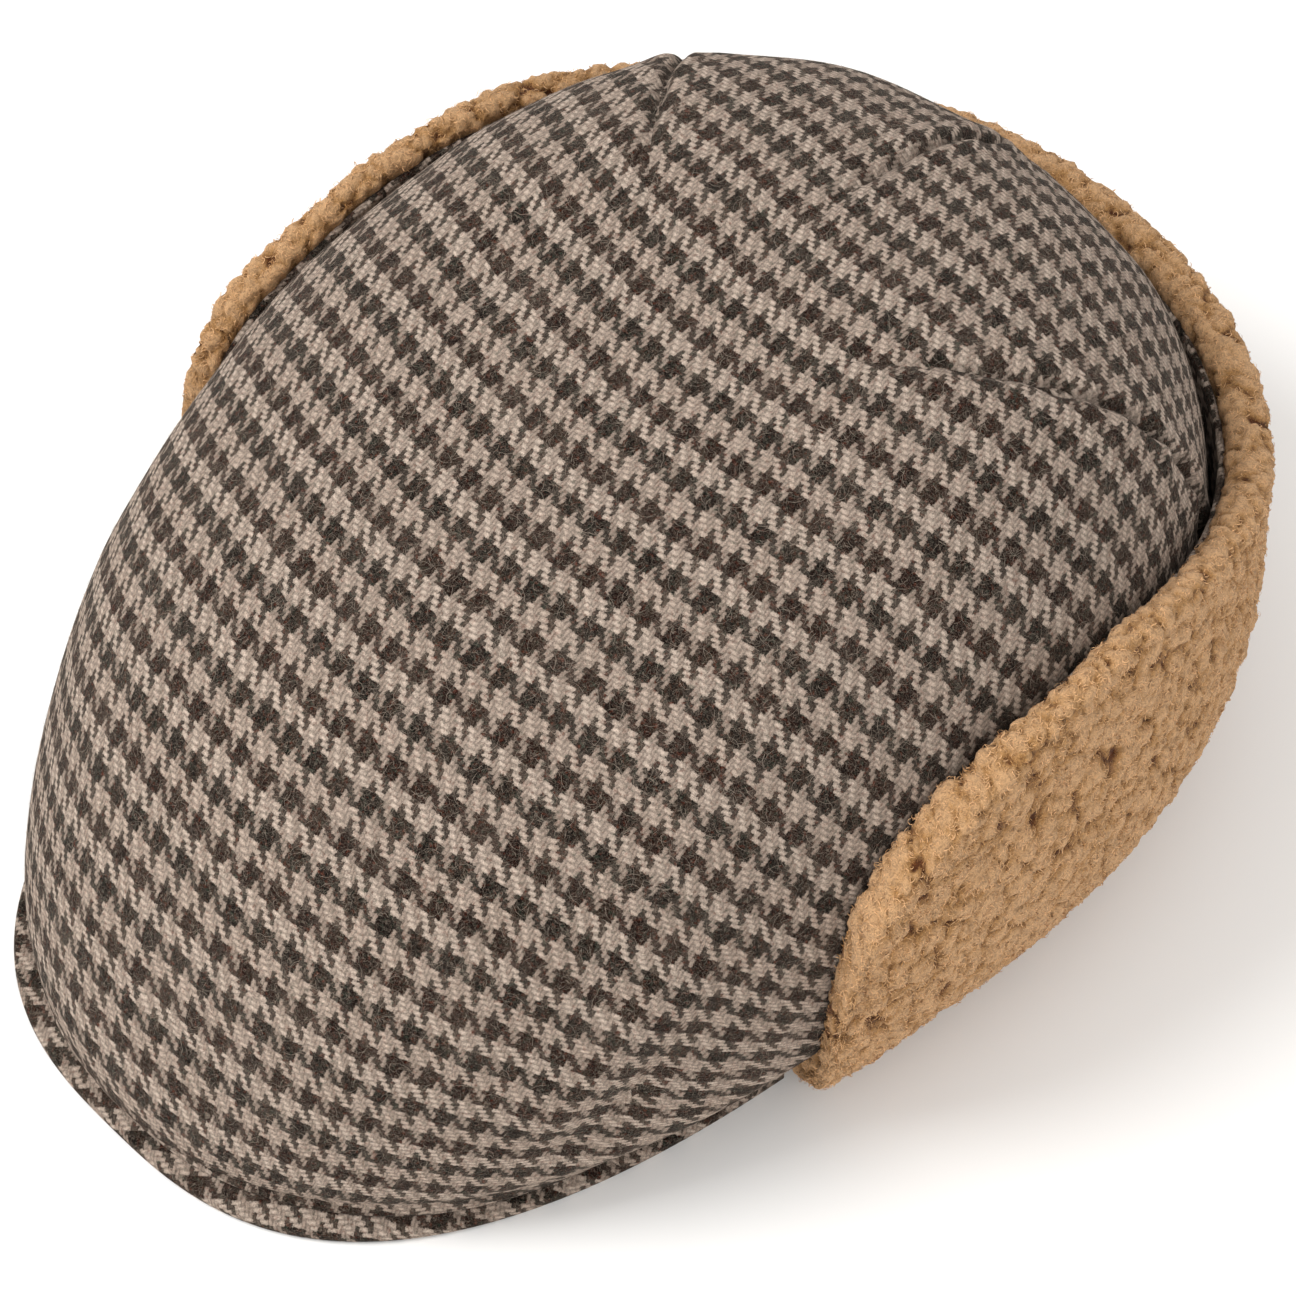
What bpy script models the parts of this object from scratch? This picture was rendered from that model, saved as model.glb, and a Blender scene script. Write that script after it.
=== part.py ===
# Flat cap of checked tweed with a turned-up ear flap.
# Frame: Z up, the peak points along -Y, the wearer's left is +X. The origin is the middle of the box's
# underside. Every outline is a rounded oval about one upright line, read as a radius for each direction.
import bpy
import numpy as np

# Driving sizes, in metres.
CROWN_HALF_WIDTH = 0.0925     # crown at its widest, over the ears
CROWN_FRONT = 0.1412          # from the widest station forward to the crown's front edge
CROWN_BACK = 0.1118           # from the widest station back to the crown's back
CROWN_RISE = 0.0895           # top of the crown above its widest contour
FRONT_EDGE_HEIGHT = 0.0060    # widest contour at the front, just over the peak
BACK_EDGE_HEIGHT = 0.0460     # widest contour at the back
SIDE_EDGE_LIFT = 0.0050       # extra height of that contour over the ears
BACKWARD_LEAN = 0.08          # share by which the rise grows to the back and falls to the front
CROWN_CLOTH = 0.0020          # tweed with its stiffening
WALL_EASE = 1.5               # how slowly the wall below the widest contour starts to turn in; 1 is straight

RIM_HALF_WIDTH = 0.0770       # outside of the opening, hat size about 56
RIM_BACK = 0.0980             # from the widest station back to the rim
HEAD_FRONT = 0.103            # from the widest station forward to the opening's front

PEAK_THICKNESS = 0.0030
PEAK_NOSE_SHARE = 0.25        # how far the peak's rounded edge stands out, as a share of its thickness
PEAK_EDGE_HEIGHT = 0.0030     # upper face of the peak along its outer edge
PEAK_ARCH = 0.022             # height that the peak's shallow dome would reach at the middle
PEAK_HALF_WIDTH = 0.0781      # outer edge of the peak, carried round to the sides
PEAK_FRONT = 0.1412           # from the widest station forward to the peak's edge
PEAK_END_WIDTH = 0.006        # width left at the peak's two ends
PEAK_END_ANGLE = -26.8        # direction of those ends, in degrees from the side, minus toward the front
SEAM_RISE_ANGLE = -40.0       # from here to the flap's front end the crown's edge rises off the peak
SEAM_TUCK = 0.0008            # how far the crown's front seam lies inside its widest contour

FLAP_HEIGHT = 0.085           # free edge over the ears
FLAP_CLOTH = 0.0016
PILE_DEPTH = 0.0068           # curly pile where it is thickest
PILE_AT_FOLD = 0.0038         # the same pile pressed flat under the rim
PILE_OVER_EDGE = 0.0025       # how far the pile stands above the flap cloth's free edge
FLAP_TURN_IN = 0.004          # how far the flap reaches inside the rim
FLAP_EASE = 0.0008            # room between the flap and the crown's widest contour
LUMP_SPACING = 0.0040         # size of the waves that lift the pile into lumps
LUMP_SHARE = 0.09             # height of the lumps as a share of the depth
LUMP_WANDER = {"along": 3.0, "up": 2.0}   # how slowly each wave of lumps is pushed aside by the other
GAP = 0.0004                  # between pieces that touch

DART_DEPTH = 0.0012
DART_HALF_WIDTH = 0.0055
DART_FADE = 0.15              # share of the reach over which a dart deepens

# Fullness of the outlines: 2 is an ellipse, more is squarer.
CROWN_BACK_FULLNESS = 2.17
CROWN_FRONT_FULLNESS = 2.13
RIM_BACK_FULLNESS = 2.15
PEAK_PLAN_FULLNESS = 2.7
HEAD_FULLNESS = 2.2
CROSSING_SHARPNESS = 70       # how sharply the rim's oval turns into the front seam

# Section of the crown along each main direction: top is how flat it starts, side how upright it ends.
CROWN_SECTIONS = {
    "side": {"top": 3.15, "side": 2.58},
    "front": {"top": 3.95, "side": 1.32},
    "back": {"top": 2.20, "side": 2.20},
}

# The three darts that fan out over the back. Reach is a share of the way from the middle to the edge.
DARTS = (
    {"start_angle": 36.0, "end_angle": 47.0, "start_reach": 0.26, "end_reach": 0.97},
    {"start_angle": 93.0, "end_angle": 94.0, "start_reach": 0.24, "end_reach": 0.97},
    {"start_angle": 144.0, "end_angle": 133.0, "start_reach": 0.26, "end_reach": 0.97},
)

# The flap from its front end to the middle of the back. Height is a share of FLAP_HEIGHT, lean is how far
# the cloth would lie outside the crown's widest contour at the full height, depth how deep the pile is,
# both as shares of PILE_DEPTH.
FLAP_STATIONS = (
    {"angle": -26.0, "height": 0.06, "lean": -0.20, "depth": 0.35},
    {"angle": -25.4, "height": 0.17, "lean": -0.20, "depth": 0.40},
    {"angle": -25.0, "height": 0.24, "lean": -0.25, "depth": 0.42},
    {"angle": -24.7, "height": 0.30, "lean": -0.30, "depth": 0.45},
    {"angle": -24.2, "height": 0.40, "lean": -0.35, "depth": 0.52},
    {"angle": -23.6, "height": 0.50, "lean": -0.40, "depth": 0.60},
    {"angle": -22.2, "height": 0.62, "lean": -0.45, "depth": 0.68},
    {"angle": -20.5, "height": 0.72, "lean": -0.50, "depth": 0.75},
    {"angle": -15.5, "height": 0.83, "lean": -0.65, "depth": 0.82},
    {"angle": -8.5, "height": 0.89, "lean": -0.80, "depth": 0.88},
    {"angle": 1.5, "height": 0.97, "lean": -0.80, "depth": 0.92},
    {"angle": 12.0, "height": 1.00, "lean": -0.80, "depth": 0.95},
    {"angle": 22.0, "height": 1.00, "lean": -0.75, "depth": 1.00},
    {"angle": 34.0, "height": 0.94, "lean": -0.50, "depth": 1.05},
    {"angle": 46.0, "height": 0.86, "lean": -0.20, "depth": 1.10},
    {"angle": 60.0, "height": 0.79, "lean": 0.00, "depth": 1.10},
    {"angle": 90.0, "height": 0.77, "lean": 0.00, "depth": 1.00},
)

# Matt wool in the mean colour of each piece's cloth, as linear red, green and blue.
COLOURS = {
    "crown": (0.17, 0.14, 0.12),
    "peak": (0.16, 0.13, 0.11),
    "flap_cloth": (0.15, 0.13, 0.12),
    "flap_pile": (0.58, 0.40, 0.22),
}
WOOL_ROUGHNESS = 0.95

# Mesh steps.
CROWN_COLUMNS = 56
DOME_ROWS = 13
WALL_ROWS = 4
FLAP_STEP = 3.4               # most degrees between two columns of the flap
PATH_STEPS = 10
PATH_FINE_STEPS = 16
PEAK_COLUMNS = 44
PEAK_ROWS = 4
SHARP_EDGE = 50               # edges that turn by more degrees than this are shaded sharp


def clear_scene():
    for thing in list(bpy.data.objects):
        bpy.data.objects.remove(thing, do_unlink=True)


def oval(angle, half_width, back, front, back_fullness, front_fullness):
    # Radius toward each direction of an oval whose back and front halves have their own length and fullness.
    c, s = np.abs(np.cos(angle)), np.abs(np.sin(angle))
    ahead = np.sin(angle) < 0
    fullness = np.where(ahead, front_fullness, back_fullness)
    length = np.where(ahead, front, back)
    return ((c / half_width) ** fullness + (s / length) ** fullness) ** (-1 / fullness)


def crown_radius(angle):
    return oval(angle, CROWN_HALF_WIDTH, CROWN_BACK, CROWN_FRONT, CROWN_BACK_FULLNESS, CROWN_FRONT_FULLNESS)


def peak_radius(angle):
    return oval(angle, PEAK_HALF_WIDTH, RIM_BACK, PEAK_FRONT, RIM_BACK_FULLNESS, PEAK_PLAN_FULLNESS)


def rim_radius(angle):
    # The crown's lower edge: the rim round the back and sides, and in front the seam on the peak, which is
    # tucked a little under the crown. Where the two ovals cross, their inner side is taken, rounded.
    rim = oval(angle, RIM_HALF_WIDTH, RIM_BACK, PEAK_FRONT - SEAM_TUCK, RIM_BACK_FULLNESS, PEAK_PLAN_FULLNESS)
    seam = crown_radius(angle) - SEAM_TUCK
    return (rim**-CROSSING_SHARPNESS + seam**-CROSSING_SHARPNESS) ** (-1 / CROSSING_SHARPNESS)


def head_radius(angle):
    inside = RIM_HALF_WIDTH - CROWN_CLOTH
    return oval(angle, inside, RIM_BACK - CROWN_CLOTH, HEAD_FRONT, RIM_BACK_FULLNESS, HEAD_FULLNESS)


def smooth_step(value, low, high):
    share = np.clip((value - low) / (high - low), 0, 1)
    return share * share * (3 - 2 * share)


def place(angle, radius, height):
    angle, radius, height = np.broadcast_arrays(angle, radius, height)
    return np.stack([radius * np.cos(angle), radius * np.sin(angle), height], axis=-1)


def edge_height(angle, radius):
    # The widest contour lies on a plane that climbs from the front to the back, lifted over the ears.
    along = (radius * np.sin(angle) + CROWN_FRONT) / (CROWN_FRONT + CROWN_BACK)
    across = radius * np.cos(angle) / CROWN_HALF_WIDTH
    return FRONT_EDGE_HEIGHT + (BACK_EDGE_HEIGHT - FRONT_EDGE_HEIGHT) * along + SIDE_EDGE_LIFT * across**2


def section_fullness(angle, name):
    # Blends the side's value into the front's or the back's by how far round the direction is.
    sideways = (np.abs(np.cos(angle)) * crown_radius(angle) / CROWN_HALF_WIDTH) ** CROWN_BACK_FULLNESS
    ends = np.where(np.sin(angle) < 0, CROWN_SECTIONS["front"][name], CROWN_SECTIONS["back"][name])
    return CROWN_SECTIONS["side"][name] * sideways + ends * (1 - sideways)


def dart_angle(dart, reach):
    share = np.clip((reach - dart["start_reach"]) / (dart["end_reach"] - dart["start_reach"]), 0, 1)
    return np.radians(dart["start_angle"] + (dart["end_angle"] - dart["start_angle"]) * share)


def dart_dip(angle, reach, radius):
    # A soft valley along each dart, fading in from its inner end.
    dip = np.zeros(np.broadcast(angle, reach).shape)
    for dart in DARTS:
        off = radius * np.sin(angle - dart_angle(dart, reach)) / DART_HALF_WIDTH
        inside = smooth_step(reach, dart["start_reach"], dart["start_reach"] + DART_FADE)
        dip = dip + DART_DEPTH * inside * np.exp(-off * off) * (np.cos(angle - dart_angle(dart, reach)) > 0)
    return dip


def crown_columns():
    # Directions of the crown's columns, with one on each dart's outer end and on each front end of the flap.
    tip = FLAP_STATIONS[0]["angle"]
    marks = [0.0] + [dart["end_angle"] for dart in DARTS] + [180.0, 180.0 - tip, 270.0, 360.0 + tip, 360.0]
    columns = []
    for low, high in zip(marks[:-1], marks[1:]):
        count = max(2, round((high - low) / 360 * CROWN_COLUMNS))
        columns.extend(np.linspace(low, high, count, endpoint=False))
    return np.array(columns)


def bent_columns(columns, reach):
    # Turns the columns a little so that they run along the darts.
    ends = [0.0] + [dart["end_angle"] for dart in DARTS] + [180.0, 360.0]
    turned = np.empty((len(reach), len(columns)))
    for row, share in enumerate(reach):
        here = [0.0] + [float(np.degrees(dart_angle(dart, share))) for dart in DARTS] + [180.0, 360.0]
        turned[row] = np.interp(columns, ends, here)
    return np.radians(turned)


def dome_points(angle, climb):
    # climb runs from 0 at the middle of the top to a quarter turn at the widest contour. Each section is a
    # rounded quarter: outward it goes as sin(climb) to the power 2/top, upward as cos(climb) to 2/side.
    top, side = section_fullness(angle, "top"), section_fullness(angle, "side")
    reach = np.sin(climb) ** (2 / top)
    radius = crown_radius(angle) * reach
    length = np.where(np.sin(angle) < 0, CROWN_FRONT, CROWN_BACK)
    rise = CROWN_RISE * (1 + BACKWARD_LEAN * radius * np.sin(angle) / length)
    height = edge_height(angle, radius) + rise * np.cos(climb) ** (2 / side)
    return place(angle, radius, height - dart_dip(angle, reach, radius))


def seam_height(angle, radius):
    # Height of the crown's lower edge: on the peak in front, on the flap's fold round the sides and back.
    on_peak = peak_top(angle, radius) + GAP
    on_flap = PILE_AT_FOLD + FLAP_CLOTH + 2 * GAP
    from_side = np.degrees(np.arcsin(np.clip(np.sin(angle), -1, 1)))
    behind = smooth_step(from_side, SEAM_RISE_ANGLE, FLAP_STATIONS[0]["angle"])
    return on_peak + (on_flap - on_peak) * behind


def wall_points(angle, drop):
    # Below the widest contour the cloth turns in to the rim, slowly at first.
    outer, inner = crown_radius(angle), rim_radius(angle)
    radius = outer + (inner - outer) * drop**WALL_EASE
    top, bottom = edge_height(angle, outer), seam_height(angle, inner)
    return place(angle, radius, top + (bottom - top) * drop)


def peak_top(angle, radius):
    # The peak is part of a shallow dome that meets its own outer edge at an even height.
    share = radius / peak_radius(angle)
    return PEAK_EDGE_HEIGHT + PEAK_ARCH * np.clip(1 - share**2, 0, None)


def grid_normals(points):
    # Outward normals of a grid whose columns go round and whose rows go down.
    around = np.roll(points, -1, axis=1) - np.roll(points, 1, axis=1)
    down = np.gradient(points, axis=0)
    normal = np.cross(down, around)
    return normal / np.maximum(np.linalg.norm(normal, axis=2, keepdims=True), 1e-12)


def add_piece(name, points, faces):
    mesh = bpy.data.meshes.new(name)
    mesh.from_pydata([tuple(p) for p in points], [], faces)
    mesh.validate()
    mesh.shade_smooth()
    mesh.set_sharp_from_angle(angle=np.radians(SHARP_EDGE))
    piece = bpy.data.objects.new(name, mesh)
    bpy.context.scene.collection.objects.link(piece)
    material = bpy.data.materials.new(name + "_cloth")
    material.use_nodes = True
    shader = material.node_tree.nodes["Principled BSDF"]
    shader.inputs["Base Color"].default_value = (*COLOURS[name], 1)
    shader.inputs["Roughness"].default_value = WOOL_ROUGHNESS
    mesh.materials.append(material)
    return piece


def ring_faces(first, second, count, flip=False):
    # Quads between two closed rings, given the index of each ring's first point.
    faces = []
    for k in range(count):
        n = (k + 1) % count
        face = (first + k, first + n, second + n, second + k)
        faces.append(face[::-1] if flip else face)
    return faces


def make_crown():
    columns = crown_columns()
    count = len(columns)
    climbs = np.linspace(0, np.pi / 2, DOME_ROWS + 1)[1:]
    reach = np.sin(climbs) ** (2 / CROWN_SECTIONS["side"]["top"])
    angles = bent_columns(columns, reach)
    dome = np.stack([dome_points(angles[row], climb) for row, climb in enumerate(climbs)])
    drops = np.linspace(0, 1, WALL_ROWS + 1)[1:]
    wall = np.stack([wall_points(angles[-1], drop) for drop in drops])
    outer = np.concatenate([dome, wall])
    inner = outer - CROWN_CLOTH * grid_normals(outer)
    inner[-1] = place(angles[-1], rim_radius(angles[-1]) - CROWN_CLOTH, 0)
    inner[-1, :, 2] = seam_height(angles[-1], rim_radius(angles[-1]) - CROWN_CLOTH)
    top = dome_points(np.array([0.0]), 0.0)[0]
    rows = len(outer)
    points = np.concatenate([outer.reshape(-1, 3), inner.reshape(-1, 3), [top, top - [0, 0, CROWN_CLOTH]]])
    inside, outer_tip, inner_tip = rows * count, 2 * rows * count, 2 * rows * count + 1
    faces = [(outer_tip, k, (k + 1) % count) for k in range(count)]
    faces += [(inner_tip, inside + (k + 1) % count, inside + k) for k in range(count)]
    for row in range(rows - 1):
        faces += ring_faces(row * count, (row + 1) * count, count, flip=True)
        faces += ring_faces(inside + row * count, inside + (row + 1) * count, count)
    faces += ring_faces((rows - 1) * count, inside + (rows - 1) * count, count, flip=True)
    return add_piece("crown", points, faces)


def loft(name, sections):
    # Joins closed sections, each a loop of the same number of points, and caps both ends.
    stations, count = sections.shape[:2]
    faces = []
    for row in range(stations - 1):
        faces += ring_faces(row * count, (row + 1) * count, count)
    faces.append(tuple(range(count))[::-1])
    faces.append(tuple(range((stations - 1) * count, stations * count)))
    return add_piece(name, sections.reshape(-1, 3), faces)


def make_peak():
    # The ends lie where the outer edge comes to the temples; the rows go from the opening to the outer edge.
    end = np.radians(PEAK_END_ANGLE)
    angles = np.linspace(np.pi - end, 2 * np.pi + end, PEAK_COLUMNS + 1)
    outer, inner = peak_radius(angles), head_radius(angles)
    inner = np.minimum(inner, outer - PEAK_END_WIDTH)
    sections = []
    for share in np.linspace(0, 1, PEAK_ROWS + 1):
        radius = inner + (outer - inner) * share
        sections.append(place(angles, radius, peak_top(angles, radius)))
    upper = np.stack(sections, axis=1)
    lower = upper[:, ::-1] - [0, 0, PEAK_THICKNESS]
    nose = place(angles, outer + PEAK_THICKNESS * PEAK_NOSE_SHARE, PEAK_EDGE_HEIGHT - PEAK_THICKNESS / 2)[:, None]
    loops = np.concatenate([upper, nose, lower], axis=1)
    return loft("peak", loops)


def flap_value(angle, name):
    # Reads the table on either side of the middle of the back.
    folded = np.degrees(np.where(angle > np.pi / 2, np.pi - angle, angle))
    return np.interp(folded, [row["angle"] for row in FLAP_STATIONS], [row[name] for row in FLAP_STATIONS])


def flap_angles():
    # The directions of the flap's columns: every row of the table, with even steps between the rows.
    known = [row["angle"] for row in FLAP_STATIONS]
    half = []
    for low, high in zip(known[:-1], known[1:]):
        count = max(1, round((high - low) / FLAP_STEP))
        half.extend(np.linspace(low, high, count, endpoint=False))
    return np.radians(np.concatenate([half, [90.0], 180.0 - np.array(half[::-1])]))


def flap_path(angle):
    # The outer face of the flap's cloth as radius and height: in under the rim, a quarter oval out and up
    # to just outside the crown's widest contour, then a bow up to the full height. It is cut where the
    # table's height is reached and read again at even steps of its length.
    rim, wide = rim_radius(angle)[:, None], crown_radius(angle)[:, None]
    floor, fold = PILE_AT_FOLD + GAP, rim + FLAP_CLOTH
    wide_height = edge_height(angle[:, None], wide)
    wide_radius = wide + FLAP_EASE + FLAP_CLOTH
    lean = PILE_DEPTH * flap_value(angle, "lean")[:, None]
    turn = np.linspace(0, np.pi / 2, PATH_FINE_STEPS)
    share = np.linspace(0, 1, PATH_FINE_STEPS)[1:]
    radii = np.concatenate([rim - FLAP_TURN_IN, fold + (wide_radius - fold) * np.sin(turn),
                            wide_radius + lean * share**2], axis=1)
    heights = np.concatenate([floor + 0 * rim, floor + (wide_height - floor) * (1 - np.cos(turn)),
                              wide_height + (FLAP_HEIGHT - wide_height) * share], axis=1)
    length = np.hypot(np.diff(radii, axis=1, prepend=radii[:, :1]), np.diff(heights, axis=1, prepend=heights[:, :1]))
    length = np.cumsum(length, axis=1)
    tops = FLAP_HEIGHT * flap_value(angle, "height")
    path = []
    for top, reach, radius, height in zip(tops, length, radii, heights):
        end = np.interp(top, height[1:], reach[1:])
        steps = np.append(0, np.linspace(reach[1], end, PATH_STEPS - 1))
        path.append((np.interp(steps, reach, radius), np.interp(steps, reach, height)))
    return np.array([out for out, up in path]), np.array([up for out, up in path])


def path_normals(radii, heights):
    # Outward normals of the path in its upright plane. The part turned in under the rim faces straight down.
    out, up = np.gradient(radii, axis=1), np.gradient(heights, axis=1)
    out[:, :2], up[:, :2] = 1, 0
    size = np.hypot(out, up)
    return up / size, -out / size


def flap_section(angle, start, depth, over):
    # A closed loop between the path moved out by start and the path moved out by start + depth.
    radii, heights = flap_path(angle)
    out, up = path_normals(radii, heights)
    near_r, near_z = radii + out * start, heights + up * start
    far_r, far_z = near_r + out * depth, near_z + up * depth
    cap_r = (near_r[:, -1] + far_r[:, -1]) / 2
    cap_z = np.maximum(near_z[:, -1], far_z[:, -1]) + over
    loop_r = np.concatenate([near_r, cap_r[:, None], far_r[:, ::-1]], axis=1)
    loop_z = np.concatenate([near_z, cap_z[:, None], far_z[:, ::-1]], axis=1)
    return loop_r, np.clip(loop_z, 0, None)


def make_flap_cloth():
    angle = flap_angles()
    loop_r, loop_z = flap_section(angle, -FLAP_CLOTH, FLAP_CLOTH, 0)
    return loft("flap_cloth", place(angle[:, None], loop_r, loop_z))


def curl_lumps(angle, heights):
    # Low rounded lumps: two crossing waves, each pushed aside by the other's direction.
    along = np.abs(angle - np.pi / 2)[:, None] * CROWN_HALF_WIDTH / LUMP_SPACING
    up = heights / LUMP_SPACING
    return LUMP_SHARE * np.sin(along + np.sin(up / LUMP_WANDER["along"])) * np.sin(up + np.sin(along / LUMP_WANDER["up"]))


def make_flap_pile():
    angle = flap_angles()
    radii, heights = flap_path(angle)
    floor = PILE_AT_FOLD + GAP
    lifted = smooth_step(heights, floor, edge_height(angle, crown_radius(angle))[:, None])
    full = PILE_DEPTH * flap_value(angle, "depth")[:, None]
    depth = PILE_AT_FOLD + (full - PILE_AT_FOLD) * lifted
    depth = depth * (1 + curl_lumps(angle, heights) * lifted)
    loop_r, loop_z = flap_section(angle, GAP, depth, PILE_OVER_EDGE)
    return loft("flap_pile", place(angle[:, None], loop_r, loop_z))


def stand_on_origin(pieces):
    # Moves the meshes together so that the box's underside is centred on the origin.
    low = np.min([np.min([v.co for v in piece.data.vertices], axis=0) for piece in pieces], axis=0)
    high = np.max([np.max([v.co for v in piece.data.vertices], axis=0) for piece in pieces], axis=0)
    shift = (-(low[0] + high[0]) / 2, -(low[1] + high[1]) / 2, -low[2])
    for piece in pieces:
        for vertex in piece.data.vertices:
            vertex.co = [value + move for value, move in zip(vertex.co, shift)]


clear_scene()
stand_on_origin([make_crown(), make_peak(), make_flap_cloth(), make_flap_pile()])
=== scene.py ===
import bpy
import numpy as np
from mathutils import Matrix, Vector


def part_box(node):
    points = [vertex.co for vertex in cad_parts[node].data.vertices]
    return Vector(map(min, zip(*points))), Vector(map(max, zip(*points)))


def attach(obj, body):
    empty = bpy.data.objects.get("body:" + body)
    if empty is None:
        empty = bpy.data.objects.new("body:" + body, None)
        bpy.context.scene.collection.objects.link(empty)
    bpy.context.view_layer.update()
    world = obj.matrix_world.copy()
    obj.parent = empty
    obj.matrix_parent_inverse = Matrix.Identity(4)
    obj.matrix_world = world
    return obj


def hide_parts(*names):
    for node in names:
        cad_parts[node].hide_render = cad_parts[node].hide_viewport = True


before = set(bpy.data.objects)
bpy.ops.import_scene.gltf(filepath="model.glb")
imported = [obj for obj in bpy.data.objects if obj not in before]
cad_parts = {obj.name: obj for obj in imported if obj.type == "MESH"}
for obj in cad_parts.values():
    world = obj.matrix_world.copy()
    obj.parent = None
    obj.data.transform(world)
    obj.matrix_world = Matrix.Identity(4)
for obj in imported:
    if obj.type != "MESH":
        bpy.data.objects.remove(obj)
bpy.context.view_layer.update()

print("frame loaded")

# Sizes in metres, angles in degrees from the wearer's left, turning toward the back. Every outline is a
# rounded oval read as a radius for each direction, about the upright line through centre.
capShape = {
    "halfWidth": 0.0925, "front": 0.1412, "back": 0.1118, "backFullness": 2.17, "frontFullness": 2.13,
    "rise": 0.0895, "frontEdge": 0.0060, "backEdge": 0.0460, "sideLift": 0.0050, "lean": 0.08,
    "rimHalfWidth": 0.0770, "rimBack": 0.0980, "rimFullness": 2.15, "headFront": 0.103, "headFullness": 2.2,
    "peakHalfWidth": 0.0781, "peakFront": 0.1412, "peakFullness": 2.7, "peakEdge": 0.0030, "peakArch": 0.022,
    "seamTuck": 0.0008, "crossing": 70.0, "seamRise": (-40.0, -26.0), "cloth": 0.0020, "gap": 0.0004,
    "sections": {"side": (3.15, 2.58), "front": (3.95, 1.32), "back": (2.20, 2.20)},
}
centre = np.array([0.0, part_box("crown")[1][1] - capShape["back"], 0.0])


def oval(angle, halfWidth, back, front, backFullness, frontFullness):
    # Rounded oval: (|cos|/halfWidth)^n + (|sin|/length)^n to the power -1/n, its two halves each their own.
    ahead = np.sin(angle) < 0
    n = np.where(ahead, frontFullness, backFullness)
    length = np.where(ahead, front, back)
    return ((np.abs(np.cos(angle)) / halfWidth) ** n + (np.abs(np.sin(angle)) / length) ** n) ** (-1 / n)


def crownRadius(angle, s=capShape):
    return oval(angle, s["halfWidth"], s["back"], s["front"], s["backFullness"], s["frontFullness"])


def peakRadius(angle, s=capShape):
    return oval(angle, s["peakHalfWidth"], s["rimBack"], s["peakFront"], s["rimFullness"], s["peakFullness"])


def rimRadius(angle, s=capShape):
    # Inner side of the rim's oval and of the crown's own outline less the tuck, rounded where they cross.
    front = s["peakFront"] - s["seamTuck"]
    rim = oval(angle, s["rimHalfWidth"], s["rimBack"], front, s["rimFullness"], s["peakFullness"])
    seam = crownRadius(angle) - s["seamTuck"]
    return (rim ** -s["crossing"] + seam ** -s["crossing"]) ** (-1 / s["crossing"])


def smoothStep(value, low, high):
    t = np.clip((value - low) / (high - low), 0, 1)
    return t * t * (3 - 2 * t)


def edgeHeight(angle, radius, s=capShape):
    # Height of the crown's widest contour: climbs evenly from front to back, and by across^2 to the sides.
    along = (radius * np.sin(angle) + s["front"]) / (s["front"] + s["back"])
    across = radius * np.cos(angle) / s["halfWidth"]
    return s["frontEdge"] + (s["backEdge"] - s["frontEdge"]) * along + s["sideLift"] * across ** 2


def sectionPowers(angle, s=capShape):
    # Blends the side's pair of powers into the front's or the back's by how far round the direction is.
    sideways = (np.abs(np.cos(angle)) * crownRadius(angle) / s["halfWidth"]) ** s["backFullness"]
    ahead = np.sin(angle) < 0
    pair = []
    for k in (0, 1):
        ends = np.where(ahead, s["sections"]["front"][k], s["sections"]["back"][k])
        pair.append(s["sections"]["side"][k] * sideways + ends * (1 - sideways))
    return pair


def domeHeight(angle, reach, s=capShape):
    # Height over a share of the way out: the contour's height plus rise times (1 - reach^top)^(1/side).
    top, side = sectionPowers(angle)
    radius = crownRadius(angle) * reach
    length = np.where(np.sin(angle) < 0, s["front"], s["back"])
    rise = s["rise"] * (1 + s["lean"] * radius * np.sin(angle) / length)
    return edgeHeight(angle, radius) + rise * np.clip(1 - reach ** top, 0, 1) ** (1 / side)


def place(angle, radius, height):
    angle, radius, height = np.broadcast_arrays(angle, radius, height)
    return np.stack([radius * np.cos(angle), radius * np.sin(angle), height], axis=-1)


def gridNormals(points, closed=True):
    # Cross product of the steps down the rows and round the columns.
    if closed:
        around = np.roll(points, -1, axis=1) - np.roll(points, 1, axis=1)
    else:
        around = np.gradient(points, axis=1)
    normal = np.cross(np.gradient(points, axis=0), around)
    return normal / np.maximum(np.linalg.norm(normal, axis=2, keepdims=True), 1e-12)


def valueNoise(points, size, seed):
    # Smooth noise from -1 to 1: a repeating lattice of seeded values, blended with smooth steps.
    table = np.random.default_rng(seed).uniform(-1, 1, (32, 32, 32))
    p = (points + 0.5) / size  # half a metre keeps the lattice's start off the cap
    cell = np.floor(p).astype(int)
    f = p - cell
    f = f * f * (3 - 2 * f)
    total = 0.0
    for corner in range(8):
        step = np.array([corner & 1, corner >> 1 & 1, corner >> 2 & 1])
        i = (cell + step) % 32
        weight = np.prod(np.where(step == 1, f, 1 - f), axis=-1)
        total = total + table[i[..., 0], i[..., 1], i[..., 2]] * weight
    return total


def cellNoise(points, size, seed):
    # Distance to the nearest jittered lattice point and the gap to the second nearest, in cells.
    jitter = np.random.default_rng(seed).uniform(0.1, 0.9, (16, 16, 16, 3))
    p = (points + 0.5) / size
    cell = np.floor(p).astype(int)
    first = np.full(p.shape[:-1], 9.0)
    second = first.copy()
    for corner in range(27):
        i = cell + np.array([corner % 3, corner // 3 % 3, corner // 9]) - 1
        w = i % 16
        away = np.linalg.norm(i + jitter[w[..., 0], w[..., 1], w[..., 2]] - p, axis=-1)
        second = np.minimum(second, np.maximum(first, away))
        first = np.minimum(first, away)
    return first, second - first


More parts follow.
